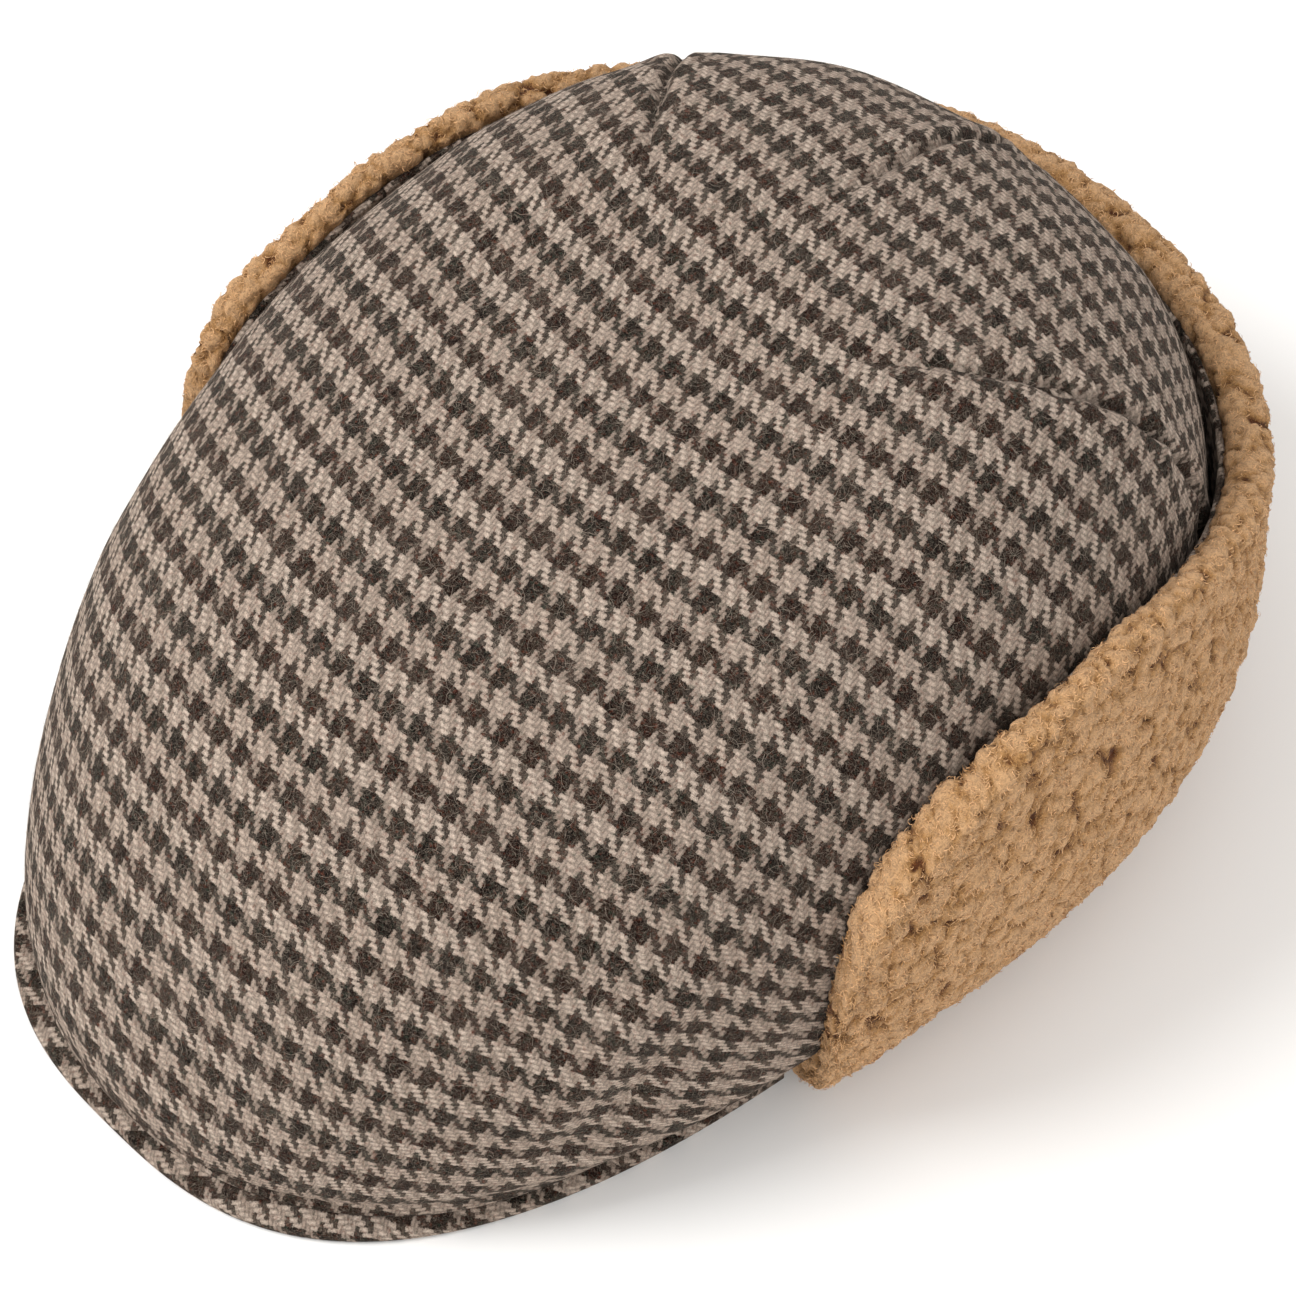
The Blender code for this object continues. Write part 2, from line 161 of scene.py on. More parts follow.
def makePiece(name, points, faces, material, fields, uv=None):
    # points (n, 3) about the centre line, faces (m, 4) with a triangle's last corner -1, uv per face corner.
    mesh = bpy.data.meshes.new(name)
    sizes = np.where(faces[:, 3] < 0, 3, 4)
    corners = faces[faces >= 0]
    mesh.vertices.add(len(points))
    mesh.vertices.foreach_set("co", (points + centre).astype(np.float32).ravel())
    mesh.loops.add(len(corners))
    mesh.loops.foreach_set("vertex_index", corners.astype(np.int32))
    mesh.polygons.add(len(faces))
    mesh.polygons.foreach_set("loop_start", (np.cumsum(sizes) - sizes).astype(np.int32))
    mesh.polygons.foreach_set("use_smooth", np.full(len(faces), True))
    mesh.update(calc_edges=True)
    if uv is not None:
        layer = mesh.uv_layers.new(name="cloth")
        layer.data.foreach_set("uv", uv.astype(np.float32).ravel())
    for field, values in fields.items():
        layer = mesh.attributes.new(field, "FLOAT", "POINT")
        layer.data.foreach_set("value", values.astype(np.float32).ravel())
    mesh.materials.append(material)
    piece = bpy.data.objects.new(name, mesh)
    bpy.context.scene.collection.objects.link(piece)
    return piece


def gridFaces(rows, columns, start=0):
    # Quads of a grid closed round its columns, whose points are numbered row by row.
    r, c = np.meshgrid(np.arange(rows - 1), np.arange(columns), indexing="ij")
    n = (c + 1) % columns
    here, below = r * columns, (r + 1) * columns
    return np.stack([here + c, below + c, below + n, here + n], axis=-1).reshape(-1, 4) + start


def fanFaces(first, second, tip):
    # Triangles from two rows of point numbers to one tip.
    return np.stack([first, second, 0 * first + tip, 0 * first - 1], axis=1)


def closedLoops(name, loops, material, fields, uv=None):
    # Joins closed sections (stations, points, 3) into one skin, with a fan over each end.
    stations, count = loops.shape[:2]
    points = np.concatenate([loops.reshape(-1, 3), loops[0].mean(axis=0)[None], loops[-1].mean(axis=0)[None]])
    k = np.arange(count)
    n = (k + 1) % count
    lastRow, tip = (stations - 1) * count, stations * count
    faces = np.concatenate([gridFaces(stations, count), fanFaces(k, n, tip),
                            fanFaces(lastRow + n, lastRow + k, tip + 1)])
    if uv is not None:
        uv = np.concatenate([uv.reshape(-1, 2), uv[0, :1], uv[-1, :1]])[faces[faces >= 0]]
    fields = {field: np.concatenate([v.ravel(), [v[0].mean(), v[-1].mean()]]) for field, v in fields.items()}
    return makePiece(name, points, faces, material, fields, uv)


def hexColour(text, strength=1.0):
    # sRGB hex to linear red, green, blue.
    c = np.array([int(text[k:k + 2], 16) for k in (1, 3, 5)]) / 255
    c = np.where(c <= 0.04045, c / 12.92, ((c + 0.055) / 1.055) ** 2.4) * strength
    return (float(c[0]), float(c[1]), float(c[2]), 1.0)


def addNode(tree, kind, inputs=(), **settings):
    # Inputs go in by place or by name. A node given as an input is read at its first output.
    node = tree.nodes.new("ShaderNode" + kind)
    for name, value in settings.items():
        setattr(node, name, value)
    for key, value in inputs.items() if isinstance(inputs, dict) else enumerate(inputs):
        value = value.outputs[0] if isinstance(value, bpy.types.Node) else value
        if isinstance(value, bpy.types.NodeSocket):
            tree.links.new(value, node.inputs[key])
        else:
            node.inputs[key].default_value = value
    return node


def setStops(ramp, stops, strength):
    # Places and colours of a colour ramp's stops.
    for k, (at, shade) in enumerate(stops):
        stop = ramp.elements[k] if k < 2 else ramp.elements.new(at)
        stop.position, stop.color = at, hexColour(shade, strength)


def newMaterial(name, values):
    # A principled shader with its fixed values.
    material = bpy.data.materials.new(name)
    material.use_nodes = True
    tree = material.node_tree
    shader = tree.nodes["Principled BSDF"]
    for socket, value in values.items():
        shader.inputs[socket].default_value = value
    return material, tree, shader


def linkSurface(tree, shader, colour, relief, strength):
    bump = addNode(tree, "Bump", {"Height": relief, "Distance": 1.0, "Strength": strength})
    tree.links.new(colour.outputs[0], shader.inputs["Base Color"])
    tree.links.new(bump.outputs[0], shader.inputs["Normal"])


def strandLines(tree, at, size, width, amount):
    # Thin curving lines: amount where either of two smooth noises is at its middle value, 0 past the width.
    inputs = {"Vector": at, "Scale": 1 / size, "Detail": 1.0, "Distortion": 0.7}
    smooth = addNode(tree, "TexNoise", inputs).outputs["Color"]
    channels = addNode(tree, "SeparateColor", (smooth,))
    off = [addNode(tree, "Math", (channels.outputs[k], 0.5), operation="SUBTRACT") for k in (0, 1)]
    away = [addNode(tree, "Math", (value,), operation="ABSOLUTE") for value in off]
    nearest = addNode(tree, "Math", away, operation="MINIMUM")
    return addNode(tree, "MapRange", (nearest, 0.0, width, amount, 0.0))


# Wool tweed in a 2/2 twill houndstooth, melange yarn with a raised nap: matt, soft edges, slanting floats.
# Groups of four threads give a check of 6.7 mm across the cap and 8.2 mm along it.
tweed = {
    "endPitch": 0.00084, "pickPitch": 0.00102, "firstThread": 4096.0,
    "ends": ("#a69486", "#170c08", "#9e8c7e", "#2b1e16"),
    "picks": ("#c6b3a3", "#210e08", "#bfab9b", "#130f0b"),
    "nap": "#a39385", "hair": "#a79888", "flecks": ("#6b3322", "#2f4034"),
    # how far the yarns wander (size, reach, detail, roughness) and how much the yarn below shows through
    "wander": ((0.00042, 0.00096, 2.0, 0.6), (0.009, 0.0022, 1.0, 0.5)), "bleed": 0.17,
    # sizes of the irregularities, and the tone each gives: from, to, least, most; the yarns' roundness gives
    # painted light and shade
    "floatRise": (0.55, 0.45), "roundness": (0.0, 1.0, 0.5, 1.1),
    "fleckSize": 0.0009, "fleckAmount": (0.56, 0.75, 0.0, 0.55),
    "hazeSize": 0.00055, "patchSize": 0.012, "haze": (0.24, 0.44, 0.0, 0.08),
    "fuzzSize": 0.00038, "fuzzPale": (0.5, 0.72, 0.0, 0.12), "fuzzTone": (0.3, 0.7, 0.55, 1.3),
    "hairs": ((0.0016, 0.36), (0.0011, 0.26)), "hairWidth": 0.012,
    "yarnHeight": 0.00022, "fibreHeight": 0.00035, "bump": 0.8,
    "shader": {"Roughness": 0.95, "Specular IOR Level": 0.05, "Sheen Tint": hexColour("#c9bdb2"),
               "Sheen Weight": 0.12, "Sheen Roughness": 0.35},
}


def tweedMaterial(name, t, darken=1.0):
    material, tree, shader = newMaterial(name, t["shader"])
    at = addNode(tree, "TexCoord").outputs["Object"]
    # the yarns wander a little, so that the check's edges are soft
    moved = addNode(tree, "UVMap", uv_map="cloth")
    for size, reach, detail, roughness in t["wander"]:
        inputs = {"Vector": at, "Scale": 1 / size, "Detail": detail, "Roughness": roughness}
        off = addNode(tree, "TexNoise", inputs).outputs["Color"]
        off = addNode(tree, "VectorMath", (off, (0.5, 0.5, 0.5)), operation="SUBTRACT")
        moved = addNode(tree, "VectorMath", (off, (reach, reach, reach), moved), operation="MULTIPLY_ADD")
    perMetre = (1 / t["endPitch"], 1 / t["pickPitch"], 0)
    threads = addNode(tree, "VectorMath", (moved, perMetre), operation="MULTIPLY")
    first = (t["firstThread"], t["firstThread"], 0)
    threads = addNode(tree, "VectorMath", (threads, first), operation="ADD")
    whole = addNode(tree, "VectorMath", (threads,), operation="FLOOR")
    count = addNode(tree, "SeparateXYZ", (whole,))
    part = addNode(tree, "VectorMath", (threads,), operation="FRACTION")
    within = addNode(tree, "SeparateXYZ", (part,))
    # 2/2 twill: the end lies on top where (end + pick) mod 4 is under 2
    added = addNode(tree, "Math", (count.outputs[0], count.outputs[1]), operation="ADD")
    diagonal = addNode(tree, "Math", (added, 4.0), operation="MODULO")
    endOnTop = addNode(tree, "Math", (diagonal, 1.5), operation="LESS_THAN")
    # yarn colours in groups of four threads, sixteen to a repeat, read at the middle of each thread
    yarns = []
    for number, shades in ((count.outputs[0], t["ends"]), (count.outputs[1], t["picks"])):
        thread = addNode(tree, "Math", (number, 16.0), operation="MODULO")
        middle = addNode(tree, "Math", (thread, 0.5), operation="ADD")
        share = addNode(tree, "Math", (middle, 1 / 16), operation="MULTIPLY")
        yarns.append(addNode(tree, "ValToRGB", (share,)))
        yarns[-1].color_ramp.interpolation = "CONSTANT"
        setStops(yarns[-1].color_ramp, [(k / 4, shade) for k, shade in enumerate(shades)], darken)
    # sockets 6 and 7 of a mix node are its two colours, output 2 its colour
    woven = addNode(tree, "Mix", {0: endOnTop, 6: yarns[1], 7: yarns[0]}, data_type="RGBA").outputs[2]
    # the felted face lets the crossing yarn's colour through
    both = addNode(tree, "Mix", {0: 0.5, 6: yarns[1], 7: yarns[0]}, data_type="RGBA").outputs[2]
    woven = addNode(tree, "Mix", {0: t["bleed"], 6: woven, 7: both}, data_type="RGBA").outputs[2]
    # round yarns: sine across the yarn, and each float of two threads rises and dips along its length
    heights = []
    for across, along, start in ((0, 1, 0.0), (1, 0, 2.0)):
        turn = addNode(tree, "Math", (within.outputs[across], np.pi), operation="MULTIPLY")
        roundness = addNode(tree, "Math", (turn,), operation="SINE")
        step = addNode(tree, "Math", (diagonal, start), operation="SUBTRACT")
        step = addNode(tree, "Math", (step, within.outputs[along]), operation="ADD")
        step = addNode(tree, "Math", (step, np.pi / 2), operation="MULTIPLY")
        rise = addNode(tree, "Math", (step,), operation="SINE")
        rise = addNode(tree, "Math", (rise, *t["floatRise"]), operation="MULTIPLY_ADD")
        heights.append(addNode(tree, "Math", (roundness, rise), operation="MULTIPLY"))
    yarn = addNode(tree, "Mix", {0: endOnTop, 2: heights[1], 3: heights[0]}, data_type="FLOAT")
    # painted light and shade: the colour is lighter on the yarns' tops and darker at their sides and at the
    # ends of each float
    lit = addNode(tree, "MapRange", (yarn, *t["roundness"]))
    woven = addNode(tree, "VectorMath", {0: woven, 3: lit}, operation="SCALE")
    # melange: warm and cool flecks under a millimetre across
    inputs = {"Vector": at, "Scale": 1 / t["fleckSize"], "Roughness": 0.7}
    channels = addNode(tree, "SeparateColor", (addNode(tree, "TexNoise", inputs).outputs["Color"],))
    for k, shade in enumerate(t["flecks"]):
        inputs = {0: addNode(tree, "MapRange", (channels.outputs[k], *t["fleckAmount"])), 6: woven}
        inputs[7] = hexColour(shade, darken)
        woven = addNode(tree, "Mix", inputs, data_type="RGBA").outputs[2]
    # nap: a light haze of fibre ends lying over the yarns
    pale = hexColour(t["nap"], darken)
    inputs = {"Vector": at, "Scale": 1 / t["hazeSize"], "Detail": 4.0, "Roughness": 0.7, "Distortion": 1.6}
    fibre = addNode(tree, "TexNoise", inputs)
    patch = addNode(tree, "TexNoise", {"Vector": at, "Scale": 1 / t["patchSize"]})
    haze = addNode(tree, "Math", (fibre, patch), operation="MULTIPLY")
    haze = addNode(tree, "MapRange", (haze, *t["haze"]))
    woven = addNode(tree, "Mix", {0: haze, 6: woven, 7: pale}, data_type="RGBA").outputs[2]
    # single fibre ends, drawn coarser than real at about a third of a millimetre, light and dark
    inputs = {"Vector": at, "Scale": 1 / t["fuzzSize"], "Roughness": 0.7, "Distortion": 1.2}
    fuzz = addNode(tree, "TexNoise", inputs)
    ends = addNode(tree, "MapRange", (fuzz, *t["fuzzPale"]))
    woven = addNode(tree, "Mix", {0: ends, 6: woven, 7: pale}, data_type="RGBA").outputs[2]
    lit = addNode(tree, "MapRange", (fuzz, *t["fuzzTone"]))
    woven = addNode(tree, "VectorMath", {0: woven, 3: lit}, operation="SCALE")
    # loose hairs lying in curves over the cloth
    for size, amount in t["hairs"]:
        inputs = {0: strandLines(tree, at, size, t["hairWidth"], amount), 6: woven}
        inputs[7] = hexColour(t["hair"], darken)
        woven = addNode(tree, "Mix", inputs, data_type="RGBA").outputs[2]
    # painted shade: the crown's dart lines are darkened through this attribute; the other pieces carry 1
    shade = addNode(tree, "Attribute", attribute_name="shade", attribute_type="GEOMETRY").outputs["Fac"]
    woven = addNode(tree, "VectorMath", {0: woven, 3: shade}, operation="SCALE")
    relief = addNode(tree, "Math", (yarn, t["yarnHeight"]), operation="MULTIPLY")
    relief = addNode(tree, "Math", (fibre, t["fibreHeight"], relief), operation="MULTIPLY_ADD")
    linkSurface(tree, shader, woven, relief, t["bump"])
    return material


# The crown: one piece of tweed drawn over the dome, with darts that fan out over its back.
crown = {
    "columns": 400, "columnShare": {"behind": 1.25, "ahead": 0.85}, "columnPull": 0.45,
    "domeRows": 116, "wallRows": 18, "wallPower": 1.5, "insideStep": 4, "insideRows": 30, "hemFade": 8,
    # angles where a dart starts and ends, its shares of the way out, cloth taken in, depth and shoulder
    "darts": (
        {"angles": (36.0, 47.0), "reach": (0.26, 0.97), "intake": 0.018, "groove": 0.0022, "puff": 0.0011},
        {"angles": (93.0, 94.0), "reach": (0.24, 0.97), "intake": 0.012, "groove": 0.0020, "puff": 0.0009},
        {"angles": (144.0, 133.0), "reach": (0.26, 0.97), "intake": 0.018, "groove": 0.0022, "puff": 0.0010},
    ),
    "grooveWidth": 0.0015, "groovePower": 1.5, "puffWidth": 0.0060, "pucker": 1.3, "puckerSize": 0.0055,
    # painted shade along each dart's line, darkened by up to 0.35 over a width of about a millimetre
    "dartFade": (0.03, 0.55), "dartPaintedShade": 0.35, "dartLine": 0.0010, "dartSpread": 27.0, "intakeEnd": 1.25,
    # soft creases and ridges: start and end on the cap, width across, and how far they lift the cloth
    "creases": (
        ((0.076, -0.092, 0.024), (0.082, -0.080, 0.034), 0.0050, -0.0022),
        ((0.082, -0.080, 0.034), (0.086, -0.066, 0.047), 0.0055, -0.0018),
        ((0.070, -0.094, 0.036), (0.078, -0.068, 0.058), 0.0075, 0.0016),
        ((-0.037, -0.010, 0.115), (-0.030, 0.034, 0.117), 0.0060, -0.0010),
        ((-0.030, 0.034, 0.117), (-0.030, 0.056, 0.113), 0.0060, -0.0009),
        ((-0.015, 0.018, 0.120), (-0.015, 0.063, 0.115), 0.0050, 0.0009),
        ((-0.046, 0.030, 0.112), (-0.040, 0.055, 0.108), 0.0060, 0.0010),
        ((0.066, 0.046, 0.080), (0.086, 0.020, 0.066), 0.0070, -0.0009),
    ),
    # the cloth is drawn in over the seam round the front, and beside the far flap's front end
    "drawnIn": {"depth": 0.0016, "width": 0.0060, "ends": (-14.0, 8.0)},
    "waves": ((0.030, 0.0008), (0.014, 0.0003)), "wavesFade": 0.06,
    # how lengths over the dome turn into lengths of flat cloth
    "stretch": {"along": 0.985, "sweep": -2.4, "across": 1.134, "acrossBack": 1.5, "acrossEdge": -11.0,
                "skew": 0.04},
}


def dartAngle(dart, reach):
    share = np.clip((reach - dart["reach"][0]) / (dart["reach"][1] - dart["reach"][0]), 0, 1)
    return np.radians(dart["angles"][0] + (dart["angles"][1] - dart["angles"][0]) * share)


def crownColumns(c):
    # Column directions with one on each dart, closer together beside the darts, and each dart's column.
    marks = [0.0] + [dart["angles"][1] for dart in c["darts"]] + [180.0, 270.0, 360.0]
    behind = len(c["darts"]) + 1
    pieces, dartColumns = [], []
    for k, (low, high) in enumerate(zip(marks[:-1], marks[1:])):
        share = c["columnShare"]["behind" if k < behind else "ahead"]
        count = round((high - low) / 360 * c["columns"] * share)
        t = np.arange(count) / count
        if k < behind:
            t = t - c["columnPull"] * np.sin(2 * np.pi * t) / (2 * np.pi)
        if 1 <= k < behind:
            dartColumns.append(sum(len(p) for p in pieces))
        pieces.append(low + (high - low) * t)
    return np.concatenate(pieces), dartColumns


def arcLengths(x, y):
    # Length over the dome from the middle line to each point at its own y, and from the widest station to
    # each point at its own x, by summing short straight steps.
    t = np.sin(np.linspace(0, np.pi / 2, 44))
    lengths = []
    for px, py in ((x[..., None] * t, y[..., None] + 0 * t), (x[..., None] + 0 * t, y[..., None] * t)):
        angle, radius = np.arctan2(py, px), np.hypot(px, py)
        z = domeHeight(angle, np.clip(radius / crownRadius(angle), 0, 1))
        lengths.append(np.sqrt(np.diff(px) ** 2 + np.diff(py) ** 2 + np.diff(z) ** 2).sum(axis=-1))
    return np.sign(x) * lengths[0], np.sign(y) * lengths[1]


def clothCoordinates(x, y, s):
    # Lengths over the dome, widened toward the back, drawn in by u^3 at the sides and swept by u^2.
    u, v = arcLengths(x, y)
    across = (s["across"] + s["acrossBack"] * v) * u + s["acrossEdge"] * u ** 3 + s["skew"] * v
    return np.stack([across, s["along"] * v + s["sweep"] * u ** 2], axis=-1)


def segmentDistance(points, start, end):
    # Distance from points to a straight segment.
    start, way = np.array(start), np.array(end) - np.array(start)
    share = np.clip(((points - start) @ way) / (way @ way), 0, 1)
    return np.linalg.norm(points - start - share[..., None] * way, axis=-1)


def crownBase(c, s):
    # The plain outer grid, rows from the top to the rim, its directions and each row's share of the way out.
    columns, dartColumns = crownColumns(c)
    reach = np.sin(np.linspace(0, np.pi / 2, c["domeRows"] + 1))[1:, None]
    fixed = [0.0] + [dart["angles"][1] for dart in c["darts"]] + [180.0, 360.0]
    angles = np.empty((len(reach), len(columns)))
    for row, share in enumerate(reach[:, 0]):
        here = [0.0] + [float(np.degrees(dartAngle(dart, share))) for dart in c["darts"]] + [180.0, 360.0]
        angles[row] = np.radians(np.interp(columns, fixed, here))
    dome = place(angles, crownRadius(angles) * reach, domeHeight(angles, reach))
    # below the widest contour the cloth turns in to the rim, inward by a power of how far down it is
    drop = np.linspace(0, 1, c["wallRows"] + 1)[1:, None]
    last = angles[-1:]
    outer, inner = crownRadius(last), rimRadius(last)
    onPeak = s["peakEdge"] + s["peakArch"] * np.clip(1 - (inner / peakRadius(last)) ** 2, 0, None) + s["gap"]
    onFlap = flap["foldHeight"] + flap["cloth"] + 2 * s["gap"]
    foot = onPeak + (onFlap - onPeak) * smoothStep(np.degrees(np.arcsin(np.sin(last))), *s["seamRise"])
    top = edgeHeight(last, outer)
    wall = place(last, outer + (inner - outer) * drop ** c["wallPower"], top + (foot - top) * drop)
    angles = np.concatenate([angles, np.repeat(last, c["wallRows"], axis=0)])
    return np.concatenate([dome, wall]), angles, np.concatenate([reach, np.ones(drop.shape)]), dartColumns


def crownRelief(base, angles, share, c):
    # How far the cloth stands off the plain grid, and its shade, a painted shade that darkens the colour
    # along each dart's line: sunk darts between puckered shoulders, soft creases, and the slow unevenness of
    # blocked cloth.
    radius = np.hypot(base[..., 0], base[..., 1])
    relief, shade = np.zeros(radius.shape), np.ones(radius.shape)
    pucker = 1 + c["pucker"] * valueNoise(base, c["puckerSize"], 7)
    for dart in c["darts"]:
        turn = angles - dartAngle(dart, share)
        off = np.where(np.cos(turn) > 0, radius * np.sin(turn), 1.0)
        start = dart["reach"][0]
        along = smoothStep(share, start - c["dartFade"][0], start + c["dartFade"][1])
        shoulder = pucker * dart["puff"] * np.exp(-(off / c["puffWidth"]) ** 2)
        sunk = (dart["groove"] + dart["puff"]) * np.exp(-np.abs(off / c["grooveWidth"]) ** c["groovePower"])
        relief += along * (shoulder - sunk)
        # painted shade: darkens the colour along each dart's line, where shade falls in the groove
        shade -= c["dartPaintedShade"] * along * np.exp(-(off / c["dartLine"]) ** 2)
    for start, end, width, lift in c["creases"]:
        relief += lift * np.exp(-(segmentDistance(base, start, end) / width) ** 2)
    drawn = c["drawnIn"]
    ahead = 1 - smoothStep(np.degrees(np.arcsin(np.sin(angles[-1]))), *drawn["ends"])
    above = base[..., 2] - flap["height"] * flapValue(angles[-1], "height")
    relief -= drawn["depth"] * ahead * np.exp(-(above / drawn["width"]) ** 2)
    for size, amount in c["waves"]:
        relief += amount * valueNoise(base, size, 5) * smoothStep(1 - share, 0.0, c["wavesFade"])
    fade = np.clip((len(base) - 1 - np.arange(len(base))) / c["hemFade"], 0, 1)
    return relief * fade[:, None], shade


def crownCloth(base, angles, share, dartColumns, c):
    # Cloth coordinates right and left of each column: carried on down the wall by length, and pushed apart at
    # the darts, where cloth is taken in.
    rows = c["domeRows"]
    uv = clothCoordinates(base[:rows, :, 0], base[:rows, :, 1], c["stretch"])
    way = uv[-1] - uv[-2]
    way = way / np.linalg.norm(way, axis=-1, keepdims=True)
    down = np.linalg.norm(np.diff(base[rows - 1:], axis=0), axis=-1).cumsum(axis=0)
    uv = np.concatenate([uv, uv[-1] + way * down[..., None]])
    uvRight, uvLeft = uv.copy(), uv.copy()
    number = np.arange(base.shape[1])
    for dart, column in zip(c["darts"], dartColumns):
        line = dartAngle(dart, share)
        turn = np.degrees(np.arctan2(np.sin(angles - line), np.cos(angles - line)))
        fade = smoothStep(np.array([share, 0 * share + 1]), dart["reach"][0], c["intakeEnd"])
        amount = 0.5 * dart["intake"] * fade[0] / fade[1] * np.exp(-(turn / c["dartSpread"]) ** 2)
        across = np.stack([-np.sin(line), np.cos(line)], axis=-1)
        for pair, atDart in ((uvRight, 1.0), (uvLeft, -1.0)):
            pair += across * (amount * np.where(number == column, atDart, np.sign(turn)))[..., None]
    return uvRight.reshape(-1, 2), uvLeft.reshape(-1, 2)


def makeCrown(c, s):
    base, angles, share, dartColumns = crownBase(c, s)
    normal = gridNormals(base)
    relief, shade = crownRelief(base, angles, share, c)
    surface = base + normal * relief[..., None]
    # a plain inner face, ending in the hem's inner edge
    step = c["insideStep"]
    inside = (base[step::step] - normal[step::step] * s["cloth"])[:c["insideRows"]]
    hemRow = place(angles[-1], rimRadius(angles[-1]) - s["cloth"], base[-1, :, 2])
    inside = np.concatenate([inside, hemRow[None]])
    rows, count = surface.shape[:2]
    tip = np.array([[0, 0, float(domeHeight(np.array(0.0), np.array(0.0)))]])
    points = np.concatenate([surface.reshape(-1, 3), inside.reshape(-1, 3), tip, tip - [0, 0, s["cloth"]]])
    start, outTip = rows * count, len(points) - 2
    k = np.arange(count)
    n = (k + 1) % count
    body, fan = gridFaces(rows, count), fanFaces(k, n, outTip)
    inFan, inner = fanFaces(start + n, start + k, outTip + 1), gridFaces(len(inside), count, start)[:, ::-1]
    outHem, inHem = start - count, outTip - count
    hem = np.stack([outHem + k, inHem + k, inHem + n, outHem + n], axis=1)
    # face corners: the left column of a face reads uvRight, its right column uvLeft
    uvRight, uvLeft = crownCloth(base, angles, share, dartColumns, c)
    bodyUv = np.concatenate([uvRight[body[:, :2]], uvLeft[body[:, 2:]]], axis=1)
    atTip = clothCoordinates(np.full(count, 1e-6), np.full(count, 1e-6), c["stretch"])
    fanUv = np.stack([uvRight[k], uvLeft[n], atTip], axis=1)
    plain = np.concatenate([uvRight, points[start:, :2]])
    rest = np.concatenate([inFan, inner, hem])
    uv = np.concatenate([bodyUv.reshape(-1, 2), fanUv.reshape(-1, 2), plain[rest[rest >= 0]]])
    # the painted shade along the darts on the outer face, none on the inner face
    fields = {"shade": np.concatenate([shade.ravel(), np.ones(len(points) - shade.size)])}
    faces = np.concatenate([body, fan, inFan, inner, hem])
    piece = makePiece("crown_tweed", points, faces, tweedMaterial("wool_tweed", tweed), fields, uv)
    return piece, surface, normal


# The flap: tweed next to the crown, curly pile facing out. Its cloth runs in under the rim, then out and up.
flap = {
    "height": 0.085, "cloth": 0.0016, "depth": 0.0068, "foldHeight": 0.0038, "overEdge": 0.0028,
    "turnIn": 0.004, "ease": 0.0008, "columnsFrom": (-26.0, -23.4, -18.0),
    "soften": 2.4, "softenFrom": (-25.0, -10.0),
    "clothStart": -24.3, "clothShort": 0.02, "clothRows": 34, "grainRadius": 0.100, "edgeStep": 0.0004,
    "fillEnd": (-24.8, -24.3), "lip": 0.0030, "lipEnd": (-10.0, 12.0), "lipShare": 0.77,
    # height, lean and pile depth are shares of the sizes above
    "columns": ("angle", "height", "lean", "depth"),
    "stations": np.array([
        (-26.0, 0.06, -0.20, 0.35), (-25.4, 0.17, -0.20, 0.40), (-25.0, 0.24, -0.25, 0.42),
        (-24.7, 0.30, -0.30, 0.45), (-24.2, 0.40, -0.35, 0.52), (-23.6, 0.50, -0.40, 0.60),
        (-22.2, 0.62, -0.45, 0.68), (-20.5, 0.72, -0.50, 0.75), (-15.5, 0.83, -0.65, 0.82),
        (-8.5, 0.89, -0.80, 0.88), (1.5, 0.97, -0.80, 0.92), (12.0, 1.00, -0.80, 0.95),
        (22.0, 1.00, -0.75, 1.00), (34.0, 0.94, -0.50, 1.05), (46.0, 0.86, -0.20, 1.10),
        (60.0, 0.79, 0.00, 1.10), (90.0, 0.77, 0.00, 1.00)]),
}


def foldedDegrees(angle):
    # Degrees behind the wearer's side, the same for both sides.
    return np.degrees(np.where(angle > np.pi / 2, np.pi - angle, angle))


def flapValue(angle, column, f=flap):
    # A column of the table at each direction, averaged over a few degrees away from the steep front ends.
    folded = foldedDegrees(angle)
    spread = np.linspace(-f["soften"], f["soften"], 5)[:, None] * smoothStep(folded, *f["softenFrom"])
    values = f["stations"][:, f["columns"].index(column)]
    return np.interp(folded + spread, f["stations"][:, 0], values).mean(axis=0)


def flapPath(angle, steps, f=flap, s=capShape):
    # Outer face of the flap's cloth: flat under the rim, a quarter oval out and up to the crown's widest
    # contour, then a bow to the free edge. Read at even steps of its length; also gives that length.
    rim, wide = rimRadius(angle)[:, None], crownRadius(angle)[:, None]
    floor, fold = f["foldHeight"] + s["gap"], rim + f["cloth"]
    wideHeight = edgeHeight(angle[:, None], wide)
    wideRadius = wide + f["ease"] + f["cloth"]
    turn, share = np.linspace(0, np.pi / 2, 40), np.linspace(0, 1, 60)[1:]
    bow = f["depth"] * flapValue(angle, "lean")[:, None] * share ** 2
    outward = fold + (wideRadius - fold) * np.sin(turn)
    radii = np.concatenate([rim - f["turnIn"], outward, wideRadius + bow], axis=1)
    heights = np.concatenate([floor + 0 * rim, floor + (wideHeight - floor) * (1 - np.cos(turn)),
                              wideHeight + (f["height"] - wideHeight) * share], axis=1)
    out, up = np.diff(radii, axis=1, prepend=radii[:, :1]), np.diff(heights, axis=1, prepend=heights[:, :1])
    lengths = np.hypot(out, up).cumsum(axis=1)
    tops = f["height"] * flapValue(angle, "height")
    rows = []
    for top, length, radius, height in zip(tops, lengths, radii, heights):
        at = np.interp(top, height[1:], length[1:]) * steps
        rows.append((np.interp(at, length, radius), np.interp(at, length, height), at))
    return np.array(rows).transpose(1, 0, 2)


def crownAt(angle, height, s=capShape):
    # Radius of the crown's outside at a height: its wall below the widest contour, its dome above.
    outer, inner = crownRadius(angle), rimRadius(angle)
    top, side = sectionPowers(angle)
    wide = edgeHeight(angle, outer)
    foot = s["peakEdge"] + flap["foldHeight"]
    wall = outer + (inner - outer) * np.clip((wide - height) / (wide - foot), 0, 1) ** crown["wallPower"]
    climb = np.clip((height - wide) / s["rise"], 0, 1)
    return np.where(height < wide, wall, outer * (1 - climb ** side) ** (1 / top))


